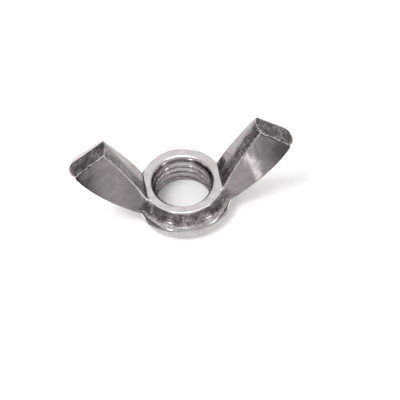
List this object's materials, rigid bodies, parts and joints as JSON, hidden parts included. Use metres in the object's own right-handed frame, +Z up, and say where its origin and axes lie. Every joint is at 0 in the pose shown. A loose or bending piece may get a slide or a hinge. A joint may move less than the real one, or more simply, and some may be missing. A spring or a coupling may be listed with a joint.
{
  "type": "wing nut",
  "caption": "One-piece forged wing nut with a round threaded hub and two upswept wings for turning it by hand.",
  "frame": {"origin": "centre of the hub's flat bottom face, on the thread's axis", "axes": "+Z up along the thread's axis, from the bearing face to the wings; the wings spread along +X and -X; Y across the wings"},
  "size_m": [0.0364, 0.0162, 0.0182],
  "materials": {
    "steel": "tumble-polished stainless steel with rough forged patches"
  },
  "bodies": {
    "root": {"wing_nut": "steel"}
  },
  "joints": []
}
